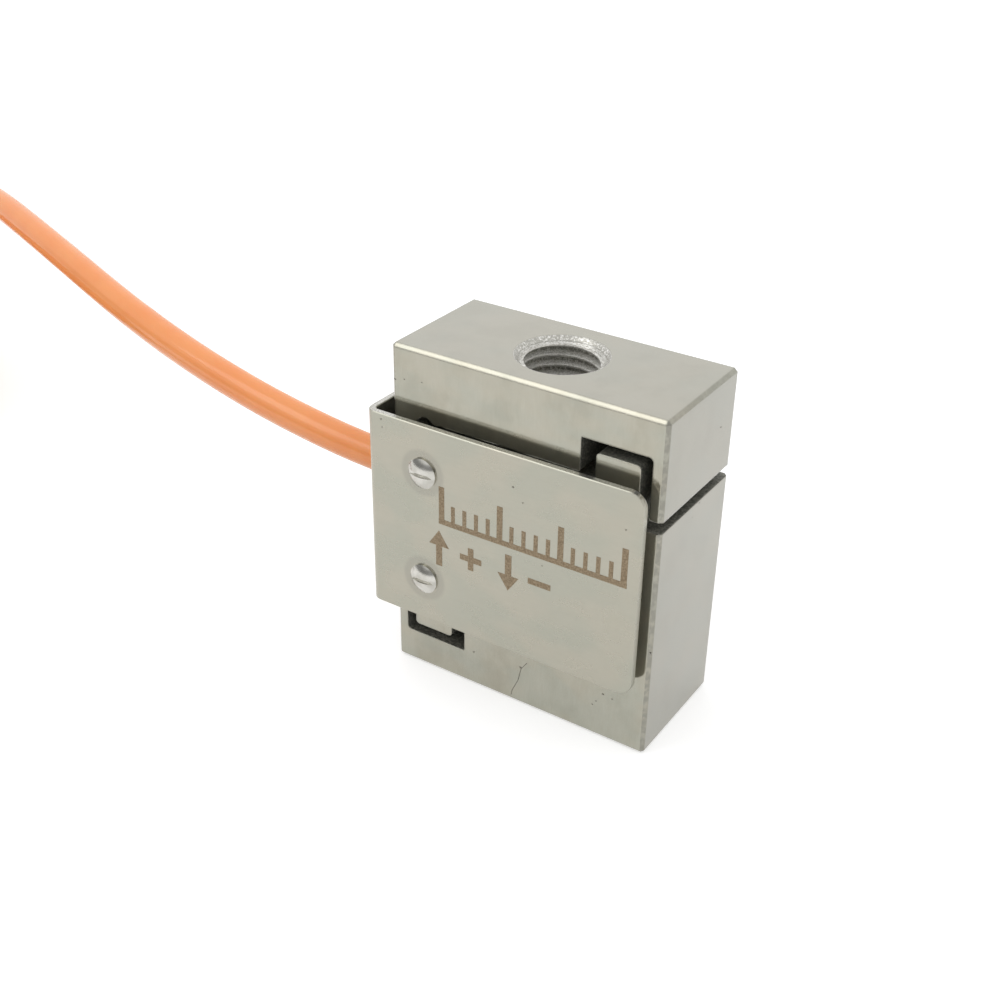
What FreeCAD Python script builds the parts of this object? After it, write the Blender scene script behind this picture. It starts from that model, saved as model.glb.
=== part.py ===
import FreeCAD, Part
import math
import os

# Miniature S type load cell: a steel spring body cut into an S by two wire-cut slots, with
# overload tabs that catch in pockets of the arms, tapped M6 in both ends for the load. Four
# foil gauges sit in the window of its middle block, behind silicone seals. A folded sheet
# cover is held off the body by screws and spacers, and a thin cable leaves through its web.
# Millimetres, +Z up the load axis. The origin is where that axis meets the bottom face.

os.makedirs("parts", exist_ok=True)

vec = FreeCAD.Vector

# Spring body
BODY_WIDTH = 21.4
BODY_DEPTH = 10.0
BODY_HEIGHT = 26.2
EDGE_CHAMFER = 0.25
THREAD_RADIUS = 3.0
THREAD_MOUTH = 0.3

# Wire-cut slots, given for the upper one: the lower one is the same, turned half a turn
ARM = 5.3
SLOT = 0.85
TAB_RIGHT = 8.97
TAB_WIDTH = 3.27
TAB_TOP = 3.57
STOP_GAP = 0.8
FREE_GAP = 1.15
LIP_BOTTOM = 7.25
SLOT_CORNER = 0.3
RELIEF_RADIUS = 0.75
RELIEF_X = -7.9

# Window of the middle block, where the gauges sit
WINDOW_WIDTH = 11.2
WINDOW_HEIGHT = 11.5
WINDOW_CORNER = 1.2
BOSS_WIDTH = 3.0
BOSS_RISE = 1.6
BOSS_CORNER = 0.4
SEAL_INSET = 0.5
SEAL_THICKNESS = 0.8

# Folded cover
SHEET = 0.5
COVER_GAP = 1.0
COVER_WEB_GAP = 0.8
COVER_RIGHT = 10.5
COVER_BOTTOM = 5.6
COVER_HEIGHT = 15.8
COVER_BEND = 0.8
COVER_CORNER = 1.0
TOE_IN = 0.2
TOE_START = -4.5

# Cover screws and their spacers
SCREW_X = -7.05
SCREW_HEIGHTS = (9.1, 17.8)
SCREW_RADIUS = 0.6
SCREW_DEPTH = 2.4
HEAD_RADIUS = 1.15
HEAD_HEIGHT = 0.5
HEAD_CROWN = 2.0
DRIVER_SLOT = 0.3
DRIVER_DEPTH = 0.25
SPACER_RADIUS = 1.3
CLEAR_RADIUS = 0.7

# Cable, its outlet and its anchor
CABLE_DIAMETER = 2.6
CABLE_HEIGHT = 13.5
BORE_RADIUS = 1.4
FERRULE_RADIUS = 1.7
FERRULE_LENGTH = 1.4
FERRULE_RECESS = 0.2
GROMMET_HOLE = 1.9
GROMMET_FLANGE = 2.5
GROMMET_LIP = 0.6
GROMMET_BEVEL = 0.2

# Route of the cable from its anchor to where it settles on the coil
LEAD_ROUTE = (
    (-5.8, 0.0, 13.5),
    (-12.6, 0.0, 13.5),
    (-19.6, -0.8, 14.4),
    (-29.5, -0.8, 16.0),
    (-42.0, 0.9, 18.1),
    (-58.0, 5.0, 20.8),
    (-75.0, 11.0, 21.4),
    (-86.0, 13.2, 19.4),
    (-93.5, 11.2, 16.4),
    (-100.0, 4.6, 14.7),
)
ARC_SHARE = 0.45

# Coil of the rest of the cable, on the floor
COIL_CENTRE = (-88.0, -5.5)
COIL_RADIUS = 13.0
COIL_COLUMNS = 3
COIL_LAYERS = 6
TURN_PITCH = 2.65
COIL_BEVEL = 0.7
TIE_THICKNESS = 0.4
TIE_WIDTH = 4.0
TIE_ANGLE = 325.0

# Stripped far end: each core has its side of the cable and its level in it
TAIL_START = 6.0
TAIL_LENGTH = 12.0
END_SLEEVE_LENGTH = 10.0
END_SLEEVE_WALL = 0.3
CORES = {"red": (-1, 1), "black": (-1, -1), "green": (1, -1), "white": (1, 1)}
CORE_OFFSET = 0.42
CORE_DIAMETER = 0.7
CORE_LENGTH = 13.0
CORE_FAN = 2.8
TIP_DIAMETER = 0.42
TIP_LENGTH = 4.0
DRAIN_DIAMETER = 0.5
DRAIN_DROP = 1.0

# Gauges, board and their wiring
GAUGE_SIZE = (2.2, 4.0, 0.08)
GAUGE_X = 3.05
GRID_BARS = 5
GRID_BAR = 0.16
GRID_RISE = 0.04
BOARD_SIZE = (2.4, 7.2, 0.4)
RESISTOR_SIZE = (0.6, 1.2, 0.35)
INNER_CORE = 0.5
PAD_X = 0.8
RIBBON_WIDTH = 0.2
RIBBON_THICKNESS = 0.06

MIDDLE = BODY_HEIGHT / 2
CABLE_RADIUS = CABLE_DIAMETER / 2
BODY_LEFT = -BODY_WIDTH / 2
FRONT = -BODY_DEPTH / 2
FLANGE_FACE = BODY_DEPTH / 2 + COVER_GAP + SHEET
WEB_FACE = BODY_LEFT - COVER_WEB_GAP - SHEET
COVER_TOP = COVER_BOTTOM + COVER_HEIGHT
FLOOR_LIFT = TIE_THICKNESS
COIL_WIDTH = TURN_PITCH * COIL_COLUMNS
COIL_HEIGHT = CABLE_DIAMETER * COIL_LAYERS


def save(name, solids):
    """Write one node: a solid, or a list of separate solids that share the node."""
    if isinstance(solids, list):
        shape = Part.makeCompound(solids)
    else:
        shape = solids
    shape.exportStep(f"parts/{name}.step")
    print(f"{name:20s} {len(shape.Solids):2d} solid(s) {shape.Volume:9.3f} mm3 {shape.isValid()}")


def flat_xz(a, b):
    """A point of a front view outline."""
    return vec(a, 0, b)


def flat_xy(a, b):
    """A point of a plan outline."""
    return vec(a, b, 0)


def outline(corners, place):
    """Face inside the corners (a, b, radius), each rounded by its own radius."""
    points = [place(a, b) for a, b, _ in corners]
    edges = []
    ends = []
    for i, (_, _, radius) in enumerate(corners):
        here = points[i]
        back = (points[i - 1] - here).normalize()
        ahead = (points[(i + 1) % len(points)] - here).normalize()
        if radius == 0:
            ends.append((here, here))
            continue
        half = back.getAngle(ahead) / 2
        reach = radius / math.tan(half)
        centre = here + (back + ahead).normalize() * (radius / math.sin(half))
        crown = centre + (here - centre).normalize() * radius
        enter = here + back * reach
        leave = here + ahead * reach
        edges.append(Part.Arc(enter, crown, leave).toShape())
        ends.append((enter, leave))
    for i, (_, leave) in enumerate(ends):
        enter = ends[(i + 1) % len(ends)][0]
        if leave.distanceToPoint(enter) > 1e-6:
            edges.append(Part.LineSegment(leave, enter).toShape())
    return Part.Face(Part.Wire(Part.__sortEdges__(edges)))


def block(size, centre):
    """Box of that size around its centre."""
    corner = centre - vec(*size) * 0.5
    return Part.makeBox(*size, corner)


def rod(radius, start, end):
    """Round bar from start to end."""
    return Part.makeCylinder(radius, start.distanceToPoint(end), start, end - start)


def turned(profile, start, along):
    """Solid turned about an axis. The profile gives (distance along it, radius) pairs."""
    face = Part.Face(Part.makePolygon([vec(r, 0, d) for d, r in profile + profile[:1]]))
    solid = face.revolve(vec(0, 0, 0), vec(0, 0, 1), 360)
    solid.Placement = FreeCAD.Placement(start, FreeCAD.Rotation(vec(0, 0, 1), along))
    return solid


def seated(piece, *neighbours):
    """The piece, cut back to the faces of its neighbours."""
    rest = piece.cut(Part.makeCompound(list(neighbours))).Solids
    return max(rest, key=lambda solid: solid.Volume)


def half_turn(shape):
    """The same shape turned half a turn about the body's own front-to-back axis."""
    copy = shape.copy()
    copy.rotate(vec(0, 0, MIDDLE), vec(0, 1, 0), 180)
    return copy


def mirrored(shape):
    """The same shape on the body's other face, front for back."""
    return shape.mirror(vec(0, 0, 0), vec(0, 1, 0))


def tube(route, diameter):
    """Round tube along straight runs joined by tangent arcs. Returns it and its radii."""
    points = [vec(*p) for p in route]
    edges = []
    radii = []
    start = points[0]
    for back, here, ahead in zip(points, points[1:], points[2:]):
        before = (back - here).normalize()
        after = (ahead - here).normalize()
        half_bend = (math.pi - before.getAngle(after)) / 2
        shorter = min(here.distanceToPoint(back), here.distanceToPoint(ahead))
        reach = ARC_SHARE * shorter
        radius = reach / math.tan(half_bend)
        inward = (before + after).normalize()
        crown = here + inward * (radius / math.cos(half_bend) - radius)
        enter = here + before * reach
        leave = here + after * reach
        edges.append(Part.LineSegment(start, enter).toShape())
        edges.append(Part.Arc(enter, crown, leave).toShape())
        radii.append(radius)
        start = leave
    edges.append(Part.LineSegment(start, points[-1]).toShape())
    spine = Part.Wire(edges)
    ring = Part.Edge(Part.Circle(points[0], points[1] - points[0], diameter / 2))
    solid = spine.makePipe(Part.Face(Part.Wire(ring)))
    ratio = solid.Volume / (math.pi * diameter**2 / 4 * spine.Length)
    return solid, radii, spine.Length, ratio


# ---------------------------------------------------------------- spring body


def labyrinth():
    """Upper slot: in from the right, round the overload tab, and left to its relief hole."""
    tab_left = TAB_RIGHT - TAB_WIDTH
    lip_inside = TAB_RIGHT + STOP_GAP
    pocket_top = BODY_HEIGHT - TAB_TOP + STOP_GAP
    pocket_left = tab_left - FREE_GAP
    arm_under = BODY_HEIGHT - ARM
    lip_under = BODY_HEIGHT - LIP_BOTTOM
    outside = BODY_WIDTH
    corners = [
        (outside, lip_under, 0),
        (lip_inside, lip_under, SLOT_CORNER / 2),
        (lip_inside, pocket_top, SLOT_CORNER),
        (pocket_left, pocket_top, SLOT_CORNER / 3),
        (pocket_left, arm_under, SLOT_CORNER / 3),
        (RELIEF_X, arm_under, 0),
        (RELIEF_X, arm_under - SLOT, 0),
        (tab_left, arm_under - SLOT, SLOT_CORNER),
        (tab_left, BODY_HEIGHT - TAB_TOP, SLOT_CORNER),
        (TAB_RIGHT, BODY_HEIGHT - TAB_TOP, SLOT_CORNER),
        (TAB_RIGHT, lip_under - SLOT, SLOT_CORNER),
        (outside, lip_under - SLOT, 0),
    ]
    cut = outline(corners, flat_xz).extrude(vec(0, BODY_DEPTH + 2, 0))
    cut.translate(vec(0, FRONT - 1, 0))
    relief_height = arm_under - SLOT / 2
    relief = rod(
        RELIEF_RADIUS,
        vec(RELIEF_X, FRONT - 1, relief_height),
        vec(RELIEF_X, -FRONT + 1, relief_height),
    )
    return cut.fuse(relief)


def window(depth):
    """Opening of the middle block, with a boss above and below that leaves thin beams beside it."""
    half = WINDOW_WIDTH / 2
    low = -WINDOW_HEIGHT / 2
    boss = BOSS_WIDTH / 2
    lower_right = [
        (boss, low + BOSS_RISE, BOSS_CORNER),
        (boss, low, BOSS_CORNER),
        (half, low, WINDOW_CORNER),
    ]
    right = lower_right + [(a, -b, radius) for a, b, radius in reversed(lower_right)]
    left = [(-a, b, radius) for a, b, radius in reversed(right)]
    solid = outline(right + left, flat_xz).extrude(vec(0, depth, 0))
    solid.translate(vec(0, -depth / 2, MIDDLE))
    return solid


def tapped_hole():
    """Upper load thread at its major radius, with its countersunk mouth."""
    profile = [
        (-ARM - SLOT / 2, 0),
        (-ARM - SLOT / 2, THREAD_RADIUS),
        (-THREAD_MOUTH, THREAD_RADIUS),
        (0, THREAD_RADIUS + THREAD_MOUTH),
        (1, THREAD_RADIUS + THREAD_MOUTH),
        (1, 0),
    ]
    return turned(profile, vec(0, 0, BODY_HEIGHT), vec(0, 0, 1))


def cable_bore():
    """Way for the cable from the body's left face into the window, with the ferrule's seat."""
    window_left = -WINDOW_WIDTH / 2
    seat_end = window_left - FERRULE_RECESS - FERRULE_LENGTH
    profile = [
        (0, 0),
        (0, FERRULE_RADIUS),
        (window_left - seat_end + 1, FERRULE_RADIUS),
        (window_left - seat_end + 1, 0),
    ]
    seat = turned(profile, vec(seat_end, 0, CABLE_HEIGHT), vec(1, 0, 0))
    way = rod(BORE_RADIUS, vec(BODY_LEFT - 1, 0, CABLE_HEIGHT), vec(seat_end, 0, CABLE_HEIGHT))
    return seat.fuse(way)


def screw_places():
    """Points where the cover screws enter the front face."""
    return [vec(SCREW_X, FRONT, height) for height in SCREW_HEIGHTS]


def spring_body():
    """The S: one steel block, bevelled, slotted, tapped and bored."""
    body = block((BODY_WIDTH, BODY_DEPTH, BODY_HEIGHT), vec(0, 0, MIDDLE))
    body = body.makeChamfer(EDGE_CHAMFER, body.Edges)
    body = body.cut(labyrinth())
    body = body.cut(half_turn(labyrinth()))
    body = body.cut(window(BODY_DEPTH + 2))
    body = body.cut(tapped_hole())
    body = body.cut(half_turn(tapped_hole()))
    body = body.cut(cable_bore())
    for place in screw_places():
        hole = rod(SCREW_RADIUS, place - vec(0, 1, 0), place + vec(0, SCREW_DEPTH, 0))
        body = body.cut(hole)
        body = body.cut(mirrored(hole))
    return body


# ---------------------------------------------------------------- cover and its fasteners


def cover_sheet():
    """One folded sheet: web over the body's left face, flanges over its front and back."""
    outer = FLANGE_FACE
    inner = FLANGE_FACE - SHEET
    toe_start = TOE_START
    inner_bend = COVER_BEND - SHEET
    corners = [
        (COVER_RIGHT, TOE_IN - outer, 0),
        (toe_start, -outer, 0),
        (WEB_FACE, -outer, COVER_BEND),
        (WEB_FACE, outer, COVER_BEND),
        (toe_start, outer, 0),
        (COVER_RIGHT, outer - TOE_IN, 0),
        (COVER_RIGHT, inner - TOE_IN, 0),
        (toe_start, inner, 0),
        (WEB_FACE + SHEET, inner, inner_bend),
        (WEB_FACE + SHEET, -inner, inner_bend),
        (toe_start, -inner, 0),
        (COVER_RIGHT, TOE_IN - inner, 0),
    ]
    sheet = outline(corners, flat_xy).extrude(vec(0, 0, COVER_HEIGHT))
    sheet.translate(vec(0, 0, COVER_BOTTOM))
    front_view = [
        (WEB_FACE, COVER_BOTTOM, 0),
        (COVER_RIGHT, COVER_BOTTOM, COVER_CORNER),
        (COVER_RIGHT, COVER_TOP, COVER_CORNER),
        (WEB_FACE, COVER_TOP, 0),
    ]
    rounded = outline(front_view, flat_xz).extrude(vec(0, 2 * outer, 0))
    rounded.translate(vec(0, -outer, 0))
    sheet = sheet.common(rounded)
    for place in screw_places():
        way = rod(CLEAR_RADIUS, place - vec(0, outer, 0), place + vec(0, 3 * outer, 0))
        sheet = sheet.cut(way)
    outlet = rod(
        GROMMET_HOLE,
        vec(WEB_FACE - 1, 0, CABLE_HEIGHT),
        vec(WEB_FACE + SHEET + 1, 0, CABLE_HEIGHT),
    )
    return sheet.cut(outlet)


def cover_screw(place):
    """Slotted screw with a domed head, from the cover's face into the body."""
    seat = vec(place.x, -FLANGE_FACE, place.z)
    centre_drop = HEAD_CROWN - HEAD_HEIGHT
    head = Part.makeSphere(HEAD_CROWN, seat + vec(0, centre_drop, 0))
    head = head.common(rod(HEAD_RADIUS, seat - vec(0, HEAD_HEIGHT, 0), seat))
    driver = block(
        (2 * HEAD_RADIUS + 1, DRIVER_DEPTH, DRIVER_SLOT),
        seat - vec(0, HEAD_HEIGHT - DRIVER_DEPTH / 2, 0),
    )
    shank = rod(SCREW_RADIUS, seat, place + vec(0, SCREW_DEPTH, 0))
    return head.fuse(shank).cut(driver).removeSplitter()


def cover_spacer(place):
    """Round spacer between the cover's flange and the body's face."""
    seat = place - vec(0, COVER_GAP, 0)
    return rod(SPACER_RADIUS, seat, place).cut(rod(SCREW_RADIUS, seat, place))


def both_faces(make):
    """A fastener at each screw place, on the front and on the back."""
    front = [make(place) for place in screw_places()]
    return front + [mirrored(piece) for piece in front]


# ---------------------------------------------------------------- gauges and wiring inside


def gauge(side, level):
    """Foil gauge on a thin beam: a carrier with raised grid bars, foil side into the window."""
    width, length, thick = GAUGE_SIZE
    wall = MIDDLE + level * WINDOW_HEIGHT / 2
    centre = vec(side * GAUGE_X, 0, wall - level * thick / 2)
    piece = block(GAUGE_SIZE, centre)
    pitch = (width - 4 * GRID_BAR) / (GRID_BARS - 1)
    for i in range(GRID_BARS):
        across = (i - (GRID_BARS - 1) / 2) * pitch
        bar_centre = centre + vec(across, 0, -level * (thick + GRID_RISE) / 2)
        piece = piece.fuse(block((GRID_BAR, length * 0.7, GRID_RISE), bar_centre))
    return piece.removeSplitter()


def board_top():
    """Height of the terminal board's upper face, on the window's lower boss."""
    return MIDDLE - WINDOW_HEIGHT / 2 + BOSS_RISE + BOARD_SIZE[2]


def terminal_board():
    """Small board glued to the window's lower boss."""
    return block(BOARD_SIZE, vec(0, 0, board_top() - BOARD_SIZE[2] / 2))


def resistor(end):
    """Trimming resistor near one end of the board."""
    place = vec(0, end * BOARD_SIZE[1] * 0.36, board_top() + RESISTOR_SIZE[2] / 2)
    return block(RESISTOR_SIZE, place)


def anchor_face():
    """Distance along X where the cable's jacket is cut, inside the ferrule."""
    return -WINDOW_WIDTH / 2 - FERRULE_RECESS


def inner_core(side, level):
    """One of the cable's four cores, from the cut jacket down to its pad on the board."""
    start = vec(anchor_face(), side * CORE_OFFSET, CABLE_HEIGHT + level * CORE_OFFSET)
    pad = vec(-PAD_X, side * (1.5 if level > 0 else 0.5), board_top())
    along = (pad - start).normalize()
    core = rod(INNER_CORE / 2, start - along, pad + along)
    jacket_side = block((4, BODY_DEPTH, WINDOW_HEIGHT), vec(start.x - 2, 0, MIDDLE))
    return seated(core, jacket_side, terminal_board())


def gauge_ribbon(side, level):
    """Flat lead from a gauge's foil, down beside the boss and onto the board's edge."""
    lane = 0 if level > 0 else 1.0
    foil = MIDDLE + level * (WINDOW_HEIGHT / 2 - GAUGE_SIZE[2] - GRID_RISE)
    under = foil - RIBBON_THICKNESS if level > 0 else foil
    path = [
        (GAUGE_X - 0.2, under),
        (GAUGE_X - 0.8, under),
        (2.0, MIDDLE if level > 0 else board_top() + 0.4),
        (PAD_X + 0.4, board_top()),
        (PAD_X, board_top()),
    ]
    run = Part.makePolygon([vec(side * a, lane - RIBBON_WIDTH / 2, b) for a, b in path])
    sharp_corners = 2
    edge = run.makeOffset2D(-side * RIBBON_THICKNESS, sharp_corners, True, True)
    return edge.extrude(vec(0, RIBBON_WIDTH, 0)).Solids[0]


def cable_ferrule():
    """Crimped ring that keeps the cable from pulling out of its bore."""
    start = vec(anchor_face() - FERRULE_LENGTH, 0, CABLE_HEIGHT)
    end = vec(anchor_face(), 0, CABLE_HEIGHT)
    return rod(FERRULE_RADIUS, start, end).cut(rod(CABLE_RADIUS, start, end))


def gauge_fill():
    """Silicone seals that close the window behind the cover's flanges."""
    seal = window(SEAL_THICKNESS)
    seal.translate(vec(0, FRONT + SEAL_INSET + SEAL_THICKNESS / 2, 0))
    return [seal, mirrored(seal)]


# ---------------------------------------------------------------- cable


def cable_grommet():
    """Rubber grommet in the web's hole. Its own hole follows the cable, which bends in it."""
    web_end = GROMMET_LIP + SHEET
    profile = [
        (0, 0),
        (0, GROMMET_FLANGE - GROMMET_BEVEL),
        (GROMMET_BEVEL, GROMMET_FLANGE),
        (GROMMET_LIP, GROMMET_FLANGE),
        (GROMMET_LIP, GROMMET_HOLE),
        (web_end, GROMMET_HOLE),
        (web_end, GROMMET_FLANGE),
        (web_end + GROMMET_LIP, GROMMET_FLANGE - GROMMET_BEVEL),
        (web_end + GROMMET_LIP, 0),
    ]
    start = vec(WEB_FACE - GROMMET_LIP, 0, CABLE_HEIGHT)
    return turned(profile, start, vec(1, 0, 0)).cut(lead_tube()[0])


def coil_section(grow):
    """Section of the coil in the vertical plane through its axis, with bevelled corners."""
    inner = COIL_RADIUS - COIL_WIDTH / 2 - grow
    outer = COIL_RADIUS + COIL_WIDTH / 2 + grow
    low = FLOOR_LIFT - grow
    high = FLOOR_LIFT + COIL_HEIGHT + grow
    bevel = COIL_BEVEL + grow * math.tan(math.pi / 8)
    corners = [
        (inner, low + bevel, 0),
        (inner + bevel, low, 0),
        (outer - bevel, low, 0),
        (outer, low + bevel, 0),
        (outer, high - bevel, 0),
        (outer - bevel, high, 0),
        (inner + bevel, high, 0),
        (inner, high - bevel, 0),
    ]
    face = outline(corners, flat_xz)
    face.translate(vec(*COIL_CENTRE, 0))
    return face


def cable_coil():
    """Outer shape of the tied coil."""
    return coil_section(0).revolve(vec(*COIL_CENTRE, 0), vec(0, 0, 1), 360)


def coil_tie():
    """Strap round the coil's section."""
    span = math.degrees(TIE_WIDTH / COIL_RADIUS)
    band = coil_section(TIE_THICKNESS).cut(coil_section(0))
    strap = band.revolve(vec(*COIL_CENTRE, 0), vec(0, 0, 1), span)
    strap.rotate(vec(*COIL_CENTRE, 0), vec(0, 0, 1), TIE_ANGLE - span / 2)
    return strap.Solids[0]


def lead_tube():
    """The cable from its anchor to the coil, as a plain tube."""
    return tube(LEAD_ROUTE, CABLE_DIAMETER)


def cable_lead():
    """The lead's tube, ended on the coil's surface."""
    solid, radii, length, ratio = lead_tube()
    print("lead radii", [round(r, 1) for r in radii], "least", 5 * CABLE_DIAMETER)
    print("lead length", round(length, 2), "volume over section times length", round(ratio, 4))
    return seated(solid, cable_coil())


def tail_axis():
    """Where the cable's last stretch runs, beside the coil's front: its y and z."""
    outer_turn = COIL_RADIUS + (COIL_COLUMNS - 1) / 2 * TURN_PITCH
    return COIL_CENTRE[1] - outer_turn, FLOOR_LIFT + CABLE_RADIUS


def tail_point(distance):
    """Point of the cable's last stretch, that far past the coil's foremost point."""
    y, z = tail_axis()
    return vec(COIL_CENTRE[0] + distance, y, z)


def cable_tail():
    """Last straight stretch of cable, from the coil to the end sleeve."""
    bar = rod(CABLE_RADIUS, tail_point(TAIL_START), tail_point(TAIL_LENGTH))
    return seated(bar, cable_coil())


def end_sleeve():
    """Heat-shrunk sleeve over the end of the jacket, drawn in round the cores."""
    wall = END_SLEEVE_WALL
    profile = [
        (0, 0),
        (0, CABLE_RADIUS + wall),
        (END_SLEEVE_LENGTH * 0.7, CABLE_RADIUS + wall),
        (END_SLEEVE_LENGTH, CABLE_RADIUS),
        (END_SLEEVE_LENGTH, 0),
    ]
    return turned(profile, tail_point(TAIL_LENGTH), vec(1, 0, 0))


def core_line(side, level):
    """Start and end of one stripped core, which fans out down to the floor."""
    start = tail_point(TAIL_LENGTH + END_SLEEVE_LENGTH)
    end = vec(start.x + CORE_LENGTH, start.y, CORE_DIAMETER / 2)
    start += vec(0, side * CORE_OFFSET, level * CORE_OFFSET)
    end.y += side * (CORE_FAN if level > 0 else CORE_FAN / 3)
    return start, end


def core_end(side, level):
    """Insulated part of one stripped core."""
    start, end = core_line(side, level)
    back = (start - end).normalize()
    return seated(rod(CORE_DIAMETER / 2, start + back, end), end_sleeve())


def core_tip(side, level):
    """Tinned strands past the end of one core's insulation, level with the floor."""
    start, end = core_line(side, level)
    ahead = vec(end.x - start.x, end.y - start.y, 0).normalize()
    tip = rod(TIP_DIAMETER / 2, end - ahead, end + ahead * TIP_LENGTH)
    return seated(tip, core_end(side, level))


def drain_wire():
    """Twisted shield wire, laid out straight under the cores."""
    start = tail_point(TAIL_LENGTH + END_SLEEVE_LENGTH) - vec(0, 0, DRAIN_DROP)
    end = vec(start.x + CORE_LENGTH * 1.1, start.y + 0.2, DRAIN_DIAMETER / 2)
    back = (start - end).normalize()
    return seated(rod(DRAIN_DIAMETER / 2, start + back, end), end_sleeve())


# ---------------------------------------------------------------- all nodes

save("spring_body", spring_body())
save("cover_sheet", cover_sheet())
save("cover_screws", both_faces(cover_screw))
save("cover_spacers", both_faces(cover_spacer))

for level_name, level in (("upper", 1), ("lower", -1)):
    for side_name, side in (("left", -1), ("right", 1)):
        save(f"gauge_{level_name}_{side_name}", gauge(side, level))
save("terminal_board", terminal_board())
save("balance_resistor", resistor(-1))
save("span_resistor", resistor(1))
for colour, (side, level) in CORES.items():
    save(f"inner_core_{colour}", inner_core(side, level))
save("gauge_wires", [gauge_ribbon(side, level) for side in (-1, 1) for level in (-1, 1)])
save("gauge_fill", gauge_fill())

save("cable_ferrule", cable_ferrule())
save("cable_grommet", cable_grommet())
save("cable_lead", cable_lead())
save("cable_coil", cable_coil())
save("coil_tie", coil_tie())
save("cable_tail", cable_tail())
save("end_sleeve", end_sleeve())
for colour, (side, level) in CORES.items():
    save(f"core_{colour}", core_end(side, level))
save("core_tips", [core_tip(side, level) for side, level in CORES.values()])
save("drain_wire", drain_wire())
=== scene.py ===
# %% [markdown]
# # A miniature S type load cell
# A load cell turns a pull or a push into a small electrical signal. This one is a steel block
# no bigger than a postage stamp. Two narrow slots cut it into the letter S, its ends are tapped
# for M6 studs, a folded cover hides the gauges in its middle, and a thin cable carries the signal.
# The measured solids come ready from the modeller. This lesson dresses them: it lights them,
# gives each one its finish, and adds the fine things that were left for Blender.

# %% Load the measured solids
import math

import bmesh
import bpy
from mathutils import Matrix, Vector


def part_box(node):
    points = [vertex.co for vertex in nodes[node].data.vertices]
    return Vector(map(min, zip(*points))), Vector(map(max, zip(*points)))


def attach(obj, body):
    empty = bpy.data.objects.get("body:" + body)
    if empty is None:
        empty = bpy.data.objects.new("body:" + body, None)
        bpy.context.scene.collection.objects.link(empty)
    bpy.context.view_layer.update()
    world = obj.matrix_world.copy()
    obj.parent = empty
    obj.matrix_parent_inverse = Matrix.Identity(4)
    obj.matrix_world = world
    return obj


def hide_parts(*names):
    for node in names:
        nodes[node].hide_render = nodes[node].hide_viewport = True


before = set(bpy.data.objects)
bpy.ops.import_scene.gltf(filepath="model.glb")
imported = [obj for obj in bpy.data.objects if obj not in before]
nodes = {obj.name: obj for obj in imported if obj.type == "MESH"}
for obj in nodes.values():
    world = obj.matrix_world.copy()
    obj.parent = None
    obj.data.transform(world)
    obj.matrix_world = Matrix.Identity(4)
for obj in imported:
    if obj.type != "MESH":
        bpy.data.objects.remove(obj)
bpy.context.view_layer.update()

MM = 0.001
body_low, body_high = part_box("spring_body")
cover_low, cover_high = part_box("cover_sheet")
print("solids:", len(nodes), "body in mm:", [round(v / MM, 2) for v in body_high - body_low])

# %% [markdown]
# ## Camera
# Small parts are best shown from above one corner, so that three faces are seen at once. The
# camera is placed by the things that a person would set by hand: the point it aims at, how far
# it stands back, the two angles, and a slight tilt. It stands several times the block's width
# away, which keeps the block's edges nearly parallel.

# %% Place the camera
AIM = Vector((-3.40, -2.20, 14.80)) * MM
STAND_BACK = 97.96 * MM
AROUND = math.radians(32.94)
ABOVE = math.radians(30.03)
TILT = math.radians(0.905)
SENSOR_WIDTH = 36
FOCAL_LENGTH = 49.35


def camera_frame(around, above, tilt):
    """Right, up and backward directions of a camera turned about the part."""
    outward = Vector((math.sin(around), -math.cos(around), 0))
    back = outward * math.cos(above) + Vector((0, 0, math.sin(above)))
    level_right = Vector((math.cos(around), math.sin(around), 0))
    level_up = back.cross(level_right)
    right = math.cos(tilt) * level_right + math.sin(tilt) * level_up
    up = math.cos(tilt) * level_up - math.sin(tilt) * level_right
    return right, up, back


right, up, back = camera_frame(AROUND, ABOVE, TILT)
lens = bpy.data.cameras.new("studio_camera")
lens.sensor_width = SENSOR_WIDTH
lens.lens = FOCAL_LENGTH
lens.clip_start = 0.002
camera = bpy.data.objects.new("studio_camera", lens)
facing = Matrix((right, up, back)).transposed().to_4x4()
camera.matrix_world = Matrix.Translation(AIM + back * STAND_BACK) @ facing
bpy.context.collection.objects.link(camera)
bpy.context.scene.camera = camera
print("camera at", [round(v / MM, 1) for v in camera.location], "mm")

# %% [markdown]
# ## Route of the cable
# A thin silicone-jacketed cable is springy: it leaves its grommet straight, rises a little,
# then sinks to the floor. The length that isn't needed is wound into a tied coil. One NURBS
# spline carries the whole of it, because a single smooth line bends as a real cable does.
# Its first ten points are the free stretch, given one by one.

# %% Points of the free stretch
CABLE_RADIUS = 1.3
LEAD = [
    (-5.8, 0.0, 13.5),
    (-12.6, 0.0, 13.5),
    (-19.6, -0.8, 14.4),
    (-29.5, -0.8, 16.0),
    (-42.0, 0.9, 18.1),
    (-58.0, 5.0, 20.8),
    (-75.0, 11.0, 21.4),
    (-86.0, 13.2, 19.4),
    (-93.5, 11.2, 16.4),
    (-100.0, 4.6, 14.7),
]
print("free stretch:", len(LEAD), "points")

# %% [markdown]
# ## Turns of the coil
# The coil has six layers of three turns. Each turn keeps its own radius for most of the way
# round and then steps across to the next one, as a hand lays them. A spline of this kind runs
# a little inside its points, so the points stand off by that small share.

# %% Lay the turns
COIL_CENTRE = (-88.0, -5.5)
COLUMNS = [15.65, 13.0, 10.35]
LAYERS = [14.7, 12.1, 9.5, 6.9, 4.3, 1.7]
JOIN_ANGLE = math.radians(140)
LAST_TURN = len(COLUMNS) * len(LAYERS) - 1
TURNS = LAST_TURN + 130 / 360
CROSSING = 0.2
POINTS_PER_TURN = 16


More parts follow.
